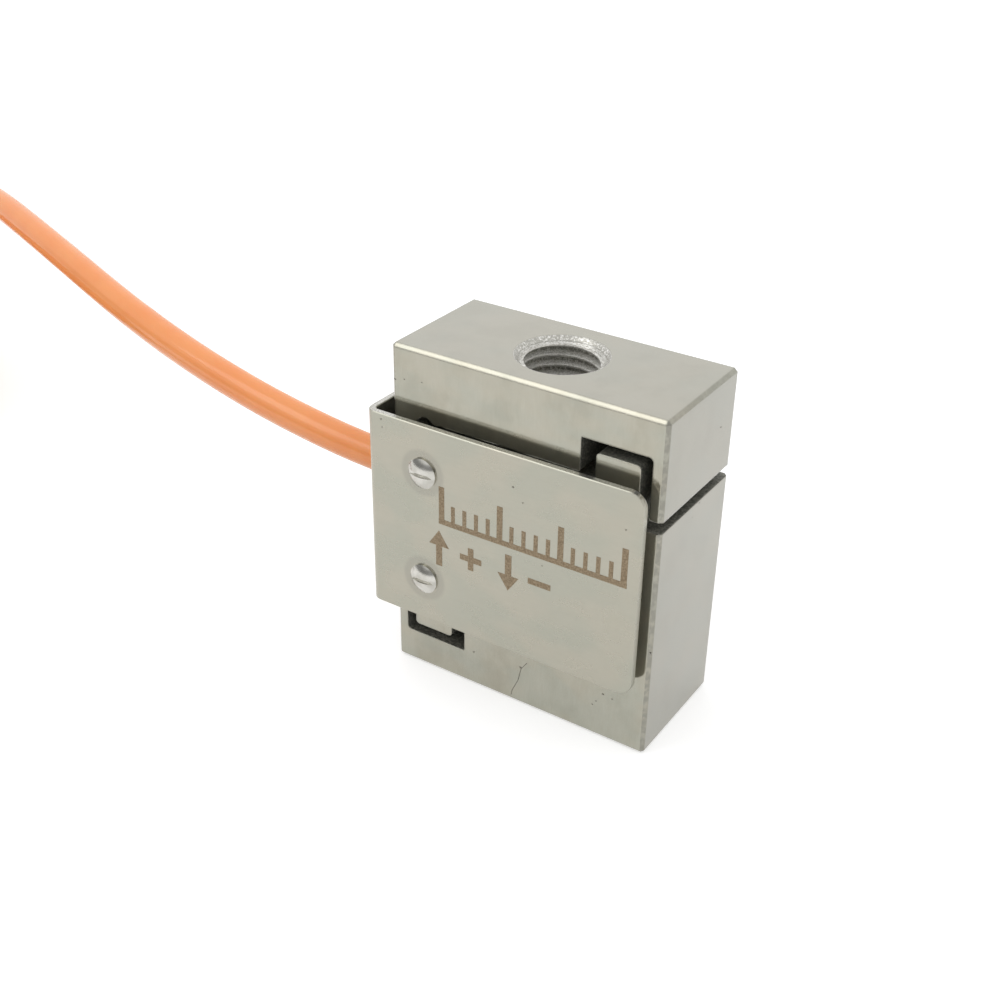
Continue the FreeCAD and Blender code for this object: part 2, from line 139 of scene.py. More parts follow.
def seat_of_turn(turn):
    """Radius and height of one whole turn: down the layers, in and out across the columns."""
    layer, place = divmod(min(turn, LAST_TURN), len(COLUMNS))
    columns = COLUMNS if layer % 2 == 0 else COLUMNS[::-1]
    return columns[place], LAYERS[layer]


def point_of_coil(turns):
    """Point for the cable's line after so many turns."""
    whole = int(turns)
    cross = max(0.0, (turns - whole - 1 + CROSSING) / CROSSING)
    radius, height = seat_of_turn(whole)
    next_radius, next_height = seat_of_turn(whole + 1)
    radius += (next_radius - radius) * cross
    height += (next_height - height) * cross
    stand_off = radius / math.cos(math.pi / POINTS_PER_TURN)
    angle = JOIN_ANGLE + 2 * math.pi * turns
    x = COIL_CENTRE[0] + stand_off * math.cos(angle)
    y = COIL_CENTRE[1] + stand_off * math.sin(angle)
    return x, y, height


steps = int(TURNS * POINTS_PER_TURN)
coil_points = [point_of_coil(i / POINTS_PER_TURN) for i in range(1, steps)]
tail_y = COIL_CENTRE[1] - COLUMNS[0]
tail_points = [(x, tail_y, LAYERS[-1]) for x in (-86.0, -82.0, -76.0)]
route = LEAD + coil_points + tail_points
print("cable:", len(route), "points, the coil in", round(TURNS, 2), "turns")

# %% [markdown]
# ## The cable itself
# A curve with a round bevel is a cable at once, and it stays one line that can be measured.
# The spline's order and its clamped ends are set once the points are in, because Blender
# holds the order down to the number of points. Blender also counts each point's radius as a
# length when it measures a curve's box. So the real radius is given to the points, and the
# bevel that multiplies it is one.

# %% Make the cable


def round_bars(name, routes, radius, resolution=6, sides=4):
    """Round bars along routes given in millimetres, each one clamped NURBS spline."""
    curve = bpy.data.curves.new(name, "CURVE")
    curve.dimensions = "3D"
    curve.bevel_depth = 1.0
    curve.bevel_resolution = sides
    curve.resolution_u = resolution
    curve.use_fill_caps = True
    for points in routes:
        spline = curve.splines.new("NURBS")
        spline.points.add(len(points) - 1)
        for point, (x, y, z) in zip(spline.points, points):
            point.co = (x * MM, y * MM, z * MM, 1)
            point.radius = radius * MM
        spline.order_u = 3
        spline.use_endpoint_u = True
    bars = bpy.data.objects.new(name, curve)
    bpy.context.collection.objects.link(bars)
    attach(bars, "root")
    return bars


def line_length(bars):
    """Length of a curve's own line, in metres, measured without its bevel."""
    bars.data.bevel_depth, bevel = 0, bars.data.bevel_depth
    line = bpy.data.meshes.new_from_object(bars)
    bars.data.bevel_depth = bevel
    places = [vertex.co for vertex in line.vertices]
    return sum((places[a] - places[b]).length for a, b in (edge.vertices for edge in line.edges))


cable = round_bars("signal_cable", [route], CABLE_RADIUS, resolution=5, sides=6)
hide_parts("cable_lead", "cable_coil", "cable_tail")
cable_length = line_length(cable)
print("cable length in m:", round(cable_length, 4))

# %% [markdown]
# ## Small mesh helpers
# Most pieces that are added here are either an outline given a thickness or a grid of points
# joined into a skin. Two short helpers make them, so that each piece's own cell holds only
# its shape.

# %% Mesh helpers


def mesh_piece(name, points, faces, smooth=False):
    """Mesh object from points in millimetres and faces, riding on the body."""
    mesh = bpy.data.meshes.new(name)
    mesh.from_pydata([Vector(p) * MM for p in points], [], faces)
    tidy = bmesh.new()
    tidy.from_mesh(mesh)
    bmesh.ops.recalc_face_normals(tidy, faces=tidy.faces)
    tidy.to_mesh(mesh)
    tidy.free()
    for polygon in mesh.polygons:
        polygon.use_smooth = smooth
    piece = bpy.data.objects.new(name, mesh)
    bpy.context.collection.objects.link(piece)
    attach(piece, "root")
    return piece


def skin(rows, close_row=False, close_rows=False, start=0):
    """Quads between rows of equally many points, numbered from start."""
    count, width = len(rows), len(rows[0])
    faces = []
    for i in range(count if close_rows else count - 1):
        for j in range(width if close_row else width - 1):
            a, b = i * width, (i + 1) % count * width
            k = (j + 1) % width
            faces.append((start + a + j, start + a + k, start + b + k, start + b + j))
    return faces


print("helpers ready")

# %% [markdown]
# ## Folded cover
# The cover is one strip of steel sheet, bent twice into a U round the body's left side. It
# could be a box with a hole, but sheet is made by bending, so the strip's cross-section is
# walked along the bent line. The section has eight corners, which breaks its sheared edges a
# little and lets them catch the light. The back flange is shorter than the front one, so that
# nothing of it looks past the body.

# %% Plan of the bent strip
SHEET = 0.5
FRONT_END = 10.05
BACK_END = 9.2
BEND = 0.8
CORNER = 1.15
BROKEN_EDGE = 0.06
FLANGE = cover_high.y / MM
WEB = cover_low.x / MM
LEAN_START = -4.5
LEAN = 0.2 / 15
CORNER_STEPS = 10
BEND_STEPS = 8
SCREW_PLACES = [(-7.05, 9.1), (-7.05, 17.8)]
SCREW_HOLE = 0.65
CABLE_HEIGHT = 13.5
GROMMET_HOLE = 1.9


def lean_in(x):
    """How far a flange leans in at x."""
    return max(0.0, x - LEAN_START) * LEAN


def bent_line():
    """Stations along the outer face: x, y, the way out of the sheet, and how far the end is."""
    stations = []
    for side, end in ((-1, FRONT_END), (1, BACK_END)):
        flange = []
        turns = [math.radians(90 * i / CORNER_STEPS) for i in range(CORNER_STEPS + 1)]
        for x in [end - CORNER * (1 - math.cos(turn)) for turn in turns] + [LEAN_START]:
            flange.append((x, side * (FLANGE - lean_in(x)), (0, side), end - x))
        for i in range(BEND_STEPS + 1):
            turn = math.radians(90 * i / BEND_STEPS)
            out = (-math.sin(turn), side * math.cos(turn))
            x = WEB + BEND + BEND * out[0]
            y = side * (FLANGE - BEND) + BEND * out[1]
            flange.append((x, y, out, end - x))
        stations.append(flange)
    return stations[0] + stations[1][::-1]


def folded_strip():
    """Mesh of the cover before its holes."""
    rows = []
    for x, y, out, reach in bent_line():
        to_arc = max(0.0, CORNER - reach)
        inset = CORNER - math.sqrt(CORNER**2 - to_arc**2)
        low, high = cover_low.z / MM + inset, cover_high.z / MM - inset
        c = BROKEN_EDGE
        section = [
            (0, low + c), (0, high - c), (c, high), (SHEET - c, high),
            (SHEET, high - c), (SHEET, low + c), (SHEET - c, low), (c, low),
        ]
        rows.append([(x - depth * out[0], y - depth * out[1], z) for depth, z in section])
    faces = skin(rows, close_row=True)
    sides = len(section)
    last = sides * (len(rows) - 1)
    faces += [tuple(range(sides)), tuple(range(last, last + sides))]
    return mesh_piece("folded_cover", [p for row in rows for p in row], faces)


cover = folded_strip()
print("cover strip:", len(cover.data.polygons), "faces")

# %% Drill the cover
SOFT_ANGLE = math.radians(28)


def drill(piece, holes):
    """Round holes through a piece, each given by its middle, its axis and its radius."""
    form = bmesh.new()
    for middle, axis, radius in holes:
        seat = Matrix.Translation(Vector(middle) * MM)
        turn = Vector(axis).to_track_quat("Z", "Y").to_matrix().to_4x4()
        bmesh.ops.create_cone(
            form, cap_ends=True, segments=40, radius1=radius * MM, radius2=radius * MM,
            depth=4 * MM, matrix=seat @ turn,
        )
    bits = bpy.data.meshes.new("drill_bits")
    form.to_mesh(bits)
    form.free()
    drill_bits = bpy.data.objects.new("drill_bits", bits)
    bpy.context.collection.objects.link(drill_bits)
    cut = piece.modifiers.new("holes", "BOOLEAN")
    cut.object = drill_bits
    cut.solver = "EXACT"
    finished_form = piece.evaluated_get(bpy.context.evaluated_depsgraph_get())
    drilled = bpy.data.meshes.new_from_object(finished_form)
    piece.modifiers.remove(cut)
    piece.data = drilled
    bpy.data.objects.remove(drill_bits)
    for polygon in drilled.polygons:
        polygon.use_smooth = True
    drilled.set_sharp_from_angle(angle=SOFT_ANGLE)


holes = [
    ((x, side * FLANGE, z), (0, 1, 0), SCREW_HOLE) for x, z in SCREW_PLACES for side in (-1, 1)
]
holes.append(((WEB, 0, CABLE_HEIGHT), (1, 0, 0), GROMMET_HOLE))
drill(cover, holes)
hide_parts("cover_sheet")
print("cover with holes:", len(cover.data.polygons), "faces")

# %% [markdown]
# ## Threads
# The turns of an M6 thread stand in each bore. Here they are drawn at the fine pitch of three
# quarters of a millimetre, with flanks at sixty degrees. Blender's screw modifier could turn
# them, but the countersunk mouth would then need a cut. So the ridge's section is walked round
# the bore and held back at both ends, and a collar carries the countersink's cone down to it.

# %% Walk the ridge of a thread round the bore
PITCH = 0.75
ROOT = 3.03
CREST = 2.62
ROOT_HALF = 0.29
CREST_HALF = 0.05
MOUTH = 3.3
COLLAR_DEPTH = 0.5
COLLAR_REACH = 2.84
ARM = 5.3
SIDES = 72
HAIR = 0.01


def thread_ridge(name, from_top):
    """Ridge and countersunk collar of a load thread. Depth runs from the outer face inward."""
    spin = -1 if from_top else 1

    def seat(radius, turn, depth):
        angle = spin * 2 * math.pi * turn
        height = body_high.z / MM - depth if from_top else depth
        return radius * math.cos(angle), radius * math.sin(angle), height

    section = [(ROOT, ROOT_HALF), (CREST, CREST_HALF), (CREST, -CREST_HALF), (ROOT, -ROOT_HALF)]
    rows = []
    for i in range(int((ARM + PITCH) / PITCH * SIDES)):
        turn = i / SIDES
        row = []
        for radius, offset in section:
            depth = min(max(turn * PITCH + offset, COLLAR_DEPTH - 2 * HAIR), ARM - HAIR)
            row.append(seat(radius, turn, depth))
        rows.append(row)
    points, faces = [p for row in rows for p in row], skin(rows)
    collar = [(MOUTH, HAIR / 2), (COLLAR_REACH, COLLAR_DEPTH), (ROOT, COLLAR_DEPTH + 6 * HAIR)]
    ring = [[seat(radius, i / SIDES, depth) for radius, depth in collar] for i in range(SIDES)]
    faces += skin(ring, close_rows=True, start=len(points))
    points += [p for row in ring for p in row]
    ridge = mesh_piece(name, points, faces)
    return ridge


upper_thread = thread_ridge("upper_thread", True)
lower_thread = thread_ridge("lower_thread", False)
print("thread ridge:", len(upper_thread.data.polygons), "faces each")

# %% [markdown]
# ## Tie of the coil
# A short strap holds the turns together. It is woven tape, so it lies round the bundle in a
# soft rectangle and laps over itself. Its path is a superellipse round the coil's section,
# which is a rectangle with generous corners and needs no joints.

# %% Wrap the tie
TIE_ANGLE = math.radians(325)
TIE_HALF_WIDTH = 2.0
TIE_MIDDLE = (13.0, 8.2)
TIE_REACH = (4.3, 7.8)
TIE_SQUARENESS = 0.42
TIE_THICKNESS = 0.26
TIE_START = 0.16
TIE_LAP = 0.12
TIE_SAG = 0.05


def tie_row(turn, outward):
    """Points across the strap at one share of the way round the bundle."""
    angle = 2 * math.pi * turn
    across = math.copysign(abs(math.cos(angle)) ** TIE_SQUARENESS, math.cos(angle))
    upward = math.copysign(abs(math.sin(angle)) ** TIE_SQUARENESS, math.sin(angle))
    radius = TIE_MIDDLE[0] + (TIE_REACH[0] + outward) * across
    height = TIE_MIDDLE[1] + (TIE_REACH[1] + outward) * upward
    row = []
    for j in range(9):
        swing = TIE_ANGLE + (j / 8 - 0.5) * 2 * TIE_HALF_WIDTH / TIE_MIDDLE[0]
        sag = TIE_SAG * math.sin(9 * angle) * (1 - abs(j / 4 - 1))
        x = COIL_CENTRE[0] + (radius + sag) * math.cos(swing)
        y = COIL_CENTRE[1] + (radius + sag) * math.sin(swing)
        row.append((x, y, max(height, 0.02)))
    return row


def wrap_tie():
    """Strap with its inner and outer skins, once round and an eighth more."""
    rounds = 96
    last = int(rounds * (1 + TIE_LAP))
    rows = []
    for i in range(last + 1):
        lift = 0.09 * max(0.0, min(1.0, (i - rounds * 0.97) / (rounds * 0.05)))
        inner = tie_row(TIE_START + i / rounds, lift)
        outer = tie_row(TIE_START + i / rounds, lift + TIE_THICKNESS)
        rows.append(inner + outer[::-1])
    faces = skin(rows, close_row=True)
    width = len(rows[0])
    faces.append(tuple(range(width)))
    faces.append(tuple(range(last * width, (last + 1) * width)))
    return mesh_piece("coil_tie_strap", [p for row in rows for p in row], faces, smooth=True)


tie = wrap_tie()
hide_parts("coil_tie")
print("tie:", len(tie.data.polygons), "faces")

# %% [markdown]
# ## Stripped end
# The far end is stripped for wiring: a shrunk sleeve, four coloured cores, and the drain wire
# of the screen. Cores keep a little of the twist they had in the jacket, so each one is a soft
# curve. Their tips are tinned strands, and the drain wire is three strands twisted together.

# %% Lay the cores
SLEEVE_END = -66.0
CORE_RADIUS = 0.35
CORE_OFFSET = 0.42
CORE_REST = 0.38
CORE_SIDES = {"red": (-1, 1), "black": (-1, -1), "green": (1, -1), "white": (1, 1)}
cores = {}
core_ends = {}
for colour, (side, level) in CORE_SIDES.items():
    fan = side * (2.8 if level > 0 else 0.95)
    aside, height = CORE_OFFSET * side, LAYERS[-1] + CORE_OFFSET * level
    points = [
        (SLEEVE_END - 0.4, tail_y + aside, height),
        (SLEEVE_END + 2.2, tail_y + aside, height),
        (SLEEVE_END + 5.2, tail_y + 0.7 * fan + 0.1 * side, 0.95 + 0.3 * level),
        (SLEEVE_END + 8.4, tail_y + 0.95 * fan, CORE_REST + 0.02),
        (SLEEVE_END + 11.0, tail_y + 0.92 * fan, CORE_REST),
        (SLEEVE_END + 13.0, tail_y + fan, CORE_REST),
    ]
    core = round_bars("stripped_" + colour, [points], CORE_RADIUS)
    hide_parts("core_" + colour)
    cores[colour] = core
    core_ends[colour] = points[-2:]
print("cores:", ", ".join(cores))

# %% Twist the tips and the drain wire
TIP_STRAND = 0.07
TIP_LAY = 0.13
DRAIN_STRAND = 0.11


def twisted(start, end, strands, lay_radius, turns, count=9):
    """Routes of strands twisted round the line from start to end."""
    start, end = Vector(start), Vector(end)
    along = (end - start).normalized()
    aside = along.cross(Vector((0, 0, 1))).normalized()
    above = aside.cross(along)
    routes = []
    for strand in range(strands):
        route = []
        for i in range(count):
            angle = 2 * math.pi * (strand / strands + turns * i / (count - 1))
            around = aside * math.cos(angle) + above * math.sin(angle)
            route.append(tuple(start.lerp(end, i / (count - 1)) + around * lay_radius))
        routes.append(route)
    return routes


tip_routes = []
for before, last in core_ends.values():
    ahead = (Vector(last) - Vector(before)).normalized()
    ahead.z = 0
    root, middle, end, tip = (Vector(last) + ahead * reach for reach in (-0.3, 1.8, 3.6, 3.7))
    tip_routes += twisted(root, end, 6, TIP_LAY, 1.2)
    tip_routes.append([tuple(root), tuple(middle), tuple(tip)])
tips = round_bars("tinned_tips", tip_routes, TIP_STRAND, resolution=4, sides=1)
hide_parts("core_tips")

drain_start = (SLEEVE_END - 0.3, tail_y, 0.72)
drain_end = (SLEEVE_END + 14.2, tail_y + 0.2, 0.26)
drain_routes = twisted(drain_start, drain_end, 3, DRAIN_STRAND, 7, 60)
drain = round_bars("drain_strands", drain_routes, DRAIN_STRAND, resolution=3, sides=2)
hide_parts("drain_wire")
print("tips:", len(tip_routes), "strands, drain:", len(drain_routes))

# %% [markdown]
# ## Laser marks
# A laser leaves a thin brown skin on the cover. The marks here are plain signs: a scale to set
# a fixture by, and arrows with a plus and a minus for pull and push. Each is cut as its own
# thin outline that lies on the cover. The long bar is in two parts, because the cover's face
# is straight up to one line and leans in beyond it.

# %% Cut the laser marks
SKIN_OF_MARK = 0.012
SCALE_START, SCALE_END = -5.7, 9.2
SCALE_FOOT = 14.2
LINE_WIDTH = 0.42
TICK_STEP = 0.96
SIGN_FOOT = 10.7
SIGN_WIDTH = 0.46
SIGN_SPAN = 1.8


def on_cover(x, z):
    """Point of the cover's front face."""
    return x, -FLANGE + lean_in(x), z


def bar(x0, z0, x1, z1):
    """Corners of an upright rectangle."""
    return [(x0, z0), (x1, z0), (x1, z1), (x0, z1)]


def arrow(x, z, way, length=2.9, half_head=0.85, head=1.25, half_stem=0.26):
    """Corners of an arrow that points up or down, its tip at x, z."""
    neck, foot = z - way * head, z - way * length
    return [
        (x, z),
        (x + half_head, neck),
        (x + half_stem, neck),
        (x + half_stem, foot),
        (x - half_stem, foot),
        (x - half_stem, neck),
        (x - half_head, neck),
    ]


def engrave(name, outlines):
    """Thin plates on the cover's face from flat outlines."""
    points, faces = [], []
    for corners in outlines:
        start, count = len(points), len(corners)
        for lift in (0.0, SKIN_OF_MARK):
            for x, z in corners:
                px, py, pz = on_cover(x, z)
                points.append((px, py - lift, pz))
        for i in range(count):
            k = (i + 1) % count
            faces.append((start + i, start + k, start + count + k, start + count + i))
        faces.append(tuple(start + count + i for i in range(count)))
    engraved = mesh_piece(name, points, faces)
    return engraved


scale_top = SCALE_FOOT + LINE_WIDTH
scale_bar = [
    bar(SCALE_START, SCALE_FOOT, LEAN_START, scale_top),
    bar(LEAN_START, SCALE_FOOT, SCALE_END, scale_top),
]
for i in range(16):
    x = SCALE_START + 0.25 + i * TICK_STEP
    half, height = (0.23, 3.0) if i % 5 == 0 else (0.16, 1.7)
    scale_bar.append(bar(x - half, scale_top, x + half, SCALE_FOOT + height))


def stroke(x):
    """Lying stroke of a plus or a minus round x."""
    foot = SIGN_FOOT + 1.2
    return bar(x - SIGN_SPAN / 2, foot, x + SIGN_SPAN / 2, foot + SIGN_WIDTH)


plus = -3.0
post = (plus - SIGN_WIDTH / 2, plus + SIGN_WIDTH / 2)
signs = [
    arrow(-5.7, SIGN_FOOT + 2.9, 1),
    stroke(plus),
    bar(post[0], SIGN_FOOT + 0.53, post[1], SIGN_FOOT + 1.2),
    bar(post[0], SIGN_FOOT + 1.66, post[1], SIGN_FOOT + 2.33),
    arrow(0.1, SIGN_FOOT, -1),
    stroke(2.6),
]
marks = engrave("laser_marks", scale_bar + signs)
print("laser marks:", len(scale_bar) + len(signs), "outlines")

# %% [markdown]
# ## Marks of use
# A part that has been on a bench carries a few specks, pits and a hairline. They could be
# painted by a noise, but then they sit anywhere. A handful of thin flecks is given one by one,
# where fingers and vices touch.

# %% Lay the flecks
FLECK = 0.004
FRONT_Y = body_low.y / MM
RIGHT_X = body_high.x / MM
COVER_FLECKS = [
    (-10.56, 20.97, 0.1), (-10.49, 20.37, 0.06), (0.36, 19.04, 0.1),
    (1.16, 18.08, 0.08), (8.87, 18.6, 0.09), (2.79, 13.7, 0.06),
]
FRONT_FLECKS = [
    (7.3, 3.9, 0.1), (8.03, 3.78, 0.07), (6.78, 3.05, 0.08), (6.47, 2.64, 0.06), (-3.68, 2.97, 0.1),
    (0.42, 3.3, 0.11), (-10.4, 23.5, 0.09), (-9.6, 23.7, 0.06), (-8.1, 23.85, 0.06),
]
RIGHT_FLECKS = [
    (2.91, 22.62, 0.08), (-4.9, 8.68, 0.08), (0.6, 17.9, 0.07),
    (1.9, 18.2, 0.05), (-0.3, 17.2, 0.05),
]
FLECK_CORNERS = 7
HAIR_HALF = 0.03
HAIRLINE = [(0.97, 3.92), (0.47, 3.2), (0.24, 2.07), (-0.26, 0.92), (-0.34, 0.5)]


def fleck(across, upward, size, turn):
    """Corners of one irregular fleck."""
    corners = []
    for i in range(FLECK_CORNERS):
        angle = 2 * math.pi * i / FLECK_CORNERS
        reach = size * (0.75 + 0.35 * math.sin(3.1 * i + 9 * turn))
        corners.append((across + 1.3 * reach * math.cos(angle), upward + reach * math.sin(angle)))
    return corners


def lay_flecks():
    """All flecks and the hairline as one thin piece."""
    points, faces = [], []
    faces_of_part = (
        (COVER_FLECKS, lambda a, z: (a, -FLANGE + lean_in(a) - FLECK, z)),
        (FRONT_FLECKS, lambda a, z: (a, FRONT_Y - FLECK, z)),
        (RIGHT_FLECKS, lambda a, z: (RIGHT_X + FLECK, a, z)),
    )
    for flecks, seat in faces_of_part:
        for across, upward, size in flecks:
            start = len(points)
            points += [seat(a, z) for a, z in fleck(across, upward, size, across)]
            faces.append(tuple(range(start, start + FLECK_CORNERS)))
    for (x0, z0), (x1, z1) in zip(HAIRLINE, HAIRLINE[1:]):
        start = len(points)
        for x, z, side in ((x0, z0, -1), (x0, z0, 1), (x1, z1, 1), (x1, z1, -1)):
            points.append((x + side * HAIR_HALF, FRONT_Y - FLECK, z))
        faces.append(tuple(range(start, start + 4)))
    return mesh_piece("handling_flecks", points, faces)


flecks = lay_flecks()
print("flecks:", len(flecks.data.polygons))

# %% [markdown]
# ## Length of the cable
# Cells of this kind come with a metre and a half, stripped at the far end.

# %% [markdown]
# ## Node helpers
# A finish is a small tree of nodes. Writing each node out takes four lines, so these helpers
# add one, fill its sockets and hand back its result. Sizes are given in millimetres, since
# that is how a machinist speaks of grain and scratches.

# %% Node helpers


def add(tree, kind, sockets=None, **settings):
    """New shader node with its settings made and its sockets filled or linked."""
    node = tree.nodes.new("ShaderNode" + kind)
    for setting, value in settings.items():
        setattr(node, setting, value)
    for socket, value in (sockets or {}).items():
        if isinstance(value, bpy.types.NodeSocket):
            tree.links.new(value, node.inputs[socket])
        else:
            node.inputs[socket].default_value = value
    return node


def math_node(tree, operation, first, second=0.0):
    """Result of one sum."""
    return add(tree, "Math", {0: first, 1: second}, operation=operation).outputs[0]


def step_between(tree, value, low, high, to_low=0.0, to_high=1.0):
    """Smooth step of a value from one level to another."""
    sockets = {"Value": value, "From Min": low, "From Max": high}
    sockets |= {"To Min": to_low, "To Max": to_high}
    return add(tree, "MapRange", sockets, interpolation_type="SMOOTHSTEP").outputs["Result"]


def tint(tree, share, first, second):
    """Second colour laid over the first one by a share."""
    sockets = {0: share}
    for socket, colour in ((6, first), (7, second)):
        linked = isinstance(colour, bpy.types.NodeSocket)
        sockets[socket] = colour if linked else (*colour, 1)
    return add(tree, "Mix", sockets, data_type="RGBA").outputs[2]


def place_of(tree):
    """Place on the part, and the same place split into x, y and z, all in metres."""
    place = add(tree, "TexCoord").outputs["Object"]
    return place, add(tree, "SeparateXYZ", {0: place}).outputs


def grain(tree, sizes, detail=3.0, fade=0.55):
    """Noise with features of about so many millimetres along x, y and z."""
    place, _ = place_of(tree)
    scaled = add(tree, "Mapping", {"Vector": place, "Scale": [1 / (size * MM) for size in sizes]})
    sockets = {"Vector": scaled.outputs[0], "Scale": 1.0, "Detail": detail, "Roughness": fade}
    return add(tree, "TexNoise", sockets).outputs[0]


def relief(tree, height, depth, normal=None):
    """Normal of a surface whose relief is so many millimetres deep."""
    sockets = {"Height": height, "Distance": depth * MM, "Strength": 1.0}
    if normal is not None:
        sockets["Normal"] = normal
    return add(tree, "Bump", sockets).outputs[0]


def new_finish(name, metallic=0.0, **sockets):
    """Empty material with its tree and shader, and the shader's fixed values set."""
    finish = bpy.data.materials.new(name)
    finish.use_nodes = True
    shader = finish.node_tree.nodes["Principled BSDF"]
    shader.inputs["Metallic"].default_value = metallic
    for socket, value in sockets.items():
        shader.inputs[socket.replace("_", " ")].default_value = value
    return finish, finish.node_tree, shader


def wear(piece, finish):
    """Give a piece its finish in every slot."""
    materials = piece.data.materials
    materials.clear()
    materials.append(finish)
    for polygon in getattr(piece.data, "polygons", []):
        polygon.material_index = 0


finished = set()


def dress(finish, *names):
    """Put a finish on solids of the frame, by name."""
    for name in names:
        node = nodes[name]
        for slot in node.material_slots:
            slot.material = finish
        finished.add(name)


print("node helpers ready")

# %% [markdown]
# ## Finish of the spring body
# The body is cut from a block of stainless steel. Its outer faces are ground and a little
# satin, with faint clouds from handling. Its slots and pockets were opened by wire erosion,
# which leaves a dull and slightly speckled skin. One material serves both: it looks at where
# a point lies and which way it faces, and mixes the two skins from that. Its ends are ground
# in another set-up and are a little darker, and its broken edges are the darkest.

# %% Ground steel and eroded steel
GROUND = (0.405, 0.388, 0.320)
GROUND_COOL = (0.382, 0.383, 0.324)
GROUND_PALE = (0.485, 0.465, 0.40)
GROUND_DARK = (0.31, 0.295, 0.24)
TOP_PAINTED_LIGHT = (0.445, 0.435, 0.385)
BROKEN = (0.25, 0.243, 0.21)
ERODED = (0.12, 0.12, 0.10)
ERODED_LIGHT = (0.30, 0.295, 0.25)
TAPPED = (0.42, 0.41, 0.37)
TAPPED_LIGHT = (0.86, 0.85, 0.81)
END_FACE = (0.33, 0.322, 0.292)
EDGE = 0.27
ROUNDING = 0.2


def facing_of(tree):
    """Way that a point faces, split into x, y and z."""
    return add(tree, "SeparateXYZ", {0: add(tree, "TexCoord").outputs["Normal"]}).outputs


def distance_from(tree, place, axes, middle=(0, 0)):
    """Distance of a place from a point, over two of its axes, with the point in millimetres."""
    squares = []
    for axis, at in zip(axes, middle):
        offset = math_node(tree, "SUBTRACT", place[axis], at * MM)
        squares.append(math_node(tree, "POWER", offset, 2))
    return math_node(tree, "SQRT", math_node(tree, "ADD", *squares))


def outer_faces(tree):
    """Shares of the outer faces with their chamfers, and of the edges that look along x."""
    _, place = place_of(tree)
    facing = facing_of(tree)
    square = [
        math_node(tree, "GREATER_THAN", math_node(tree, "ABSOLUTE", facing[axis]), 0.5)
        for axis in range(3)
    ]
    outer = None
    for axis in range(3):
        middle = (body_low[axis] + body_high[axis]) / 2
        half = (body_high[axis] - body_low[axis]) / 2
        offset = math_node(tree, "SUBTRACT", place[axis], middle)
        from_middle = math_node(tree, "ABSOLUTE", offset)
        near = math_node(tree, "GREATER_THAN", from_middle, half - EDGE * MM)
        both = math_node(tree, "MULTIPLY", near, square[axis])
        outer = both if outer is None else math_node(tree, "MAXIMUM", outer, both)
    level = math_node(tree, "MULTIPLY", square[2], 0.4)
    edge = math_node(tree, "MULTIPLY", square[0], math_node(tree, "MAXIMUM", square[1], level))
    return outer, math_node(tree, "MULTIPLY", edge, outer)


def load_bore(tree):
    """Share of the tapped bores and their mouths."""
    _, place = place_of(tree)
    from_axis = distance_from(tree, place, (0, 1))
    return math_node(tree, "LESS_THAN", from_axis, (MOUTH + HAIR) * MM)


